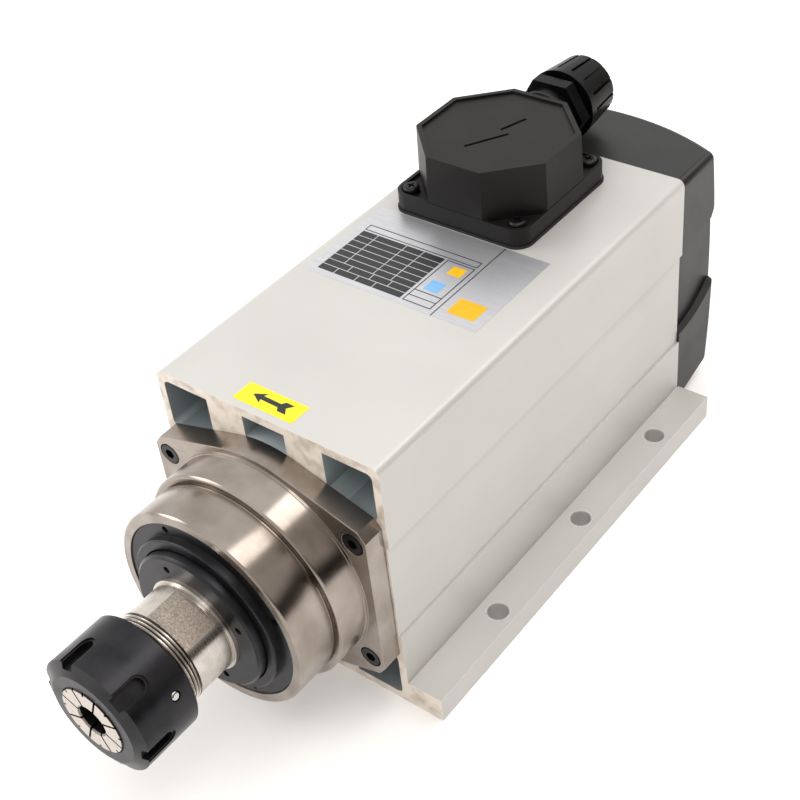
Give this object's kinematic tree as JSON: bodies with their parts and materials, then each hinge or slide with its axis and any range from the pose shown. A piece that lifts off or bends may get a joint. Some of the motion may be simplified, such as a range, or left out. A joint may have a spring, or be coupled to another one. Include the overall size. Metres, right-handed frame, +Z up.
{
  "type": "motor spindle",
  "caption": "Air-cooled square spindle motor with a flanged nose, slitted collet and slotted collet nut, octagonal terminal box with cable gland, and a louvred rear fan cover.",
  "frame": {"origin": "centre of the six base bolt holes, on the underside of the base", "axes": "-Y along the spindle towards the nose and collet, +Z up through the terminal box, +X to the right of the nose seen from behind it"},
  "size_m": [0.14, 0.359, 0.1599],
  "materials": {
    "anodised_aluminium": "satin, clear anodised extrusion",
    "nickel_steel": "glossy nickel plating over turned steel",
    "ground_steel": "fine ground",
    "black_oxide_steel": "black oxide, slight oil sheen",
    "hard_chrome_steel": "polished bearing steel",
    "lamination_steel": "stacked sheet, lightly oiled",
    "copper_winding": "enamelled copper wire, varnished",
    "cast_aluminium": "die cast, matt",
    "black_plastic": "moulded, fine grain",
    "gland_nylon": "moulded, slight gloss",
    "board_plastic": "moulded",
    "brass": "turned",
    "rubber": "soft, matt"
  },
  "bodies": {
    "housing": {"motor_housing": "anodised_aluminium", "front_bearing_housing": "nickel_steel", "front_flange_screws": "black_oxide_steel", "bearing_cover_ring": "black_oxide_steel", "front_bearing_outer_rings": "hard_chrome_steel", "outer_spacer": "ground_steel", "stator_core": "lamination_steel", "stator_windings": "copper_winding", "rear_bracket": "cast_aluminium", "rear_bracket_screws": "black_oxide_steel", "rear_bearing_outer_ring": "hard_chrome_steel", "disc_spring": "ground_steel", "rear_cover": "black_plastic", "rear_cover_screws": "black_oxide_steel", "terminal_box": "black_plastic", "terminal_box_gasket": "rubber", "terminal_box_screws": "black_oxide_steel", "terminal_board": "board_plastic", "terminal_studs": "brass", "terminal_nuts": "brass", "earth_screw": "brass", "gland_seal_ring": "rubber", "gland_collar": "gland_nylon", "gland_body": "gland_nylon"},
    "spindle": {"spindle_shaft": "ground_steel", "labyrinth_ring": "black_oxide_steel", "front_bearing_inner_rings": "hard_chrome_steel", "front_bearing_balls": "hard_chrome_steel", "front_bearing_cages": "board_plastic", "inner_spacer": "ground_steel", "spindle_locknut": "black_oxide_steel", "rotor_core": "lamination_steel", "rotor_cage_rings": "cast_aluminium", "rear_bearing_inner_ring": "hard_chrome_steel", "rear_bearing_balls": "hard_chrome_steel", "rear_retaining_ring": "black_oxide_steel", "fan": "black_plastic", "fan_key": "ground_steel", "fan_retaining_ring": "black_oxide_steel"},
    "collet": {"collet": "ground_steel", "nut_grip_ring": "ground_steel", "nut_balls": "hard_chrome_steel"},
    "nut": {"collet_nut": "black_oxide_steel", "nut_plug": "ground_steel"},
    "cable_seal": {"gland_seal": "rubber"},
    "cable_nut": {"gland_nut": "gland_nylon"}
  },
  "joints": [
    {"name": "spindle_spin", "type": "hinge", "parent": "housing", "child": "spindle", "pos_m": [0, 0, 0.0625], "axis": [0, 1, 0], "continuous": true},
    {"name": "collet_draw", "type": "slide", "parent": "spindle", "child": "collet", "axis": [0, -1, 0], "range_m": [0, 0.006]},
    {"name": "collet_nut_turn", "type": "hinge", "parent": "collet", "child": "nut", "pos_m": [0, -0.2, 0.0625], "axis": [0, -1, 0], "range_deg": [0, 1440]},
    {"name": "gland_seal_slide", "type": "slide", "parent": "housing", "child": "cable_seal", "axis": [0, 1, 0], "range_m": [0, 0.003]},
    {"name": "gland_nut_turn", "type": "hinge", "parent": "cable_seal", "child": "cable_nut", "pos_m": [-0.0093, 0.115, 0.1435], "axis": [0, 1, 0], "range_deg": [0, 720]}
  ],
  "couplings": [
    {"joint": "collet_draw", "follows": "collet_nut_turn", "m_per_rad": 0.00023873},
    {"joint": "gland_seal_slide", "follows": "gland_nut_turn", "m_per_rad": 0.00023873}
  ]
}
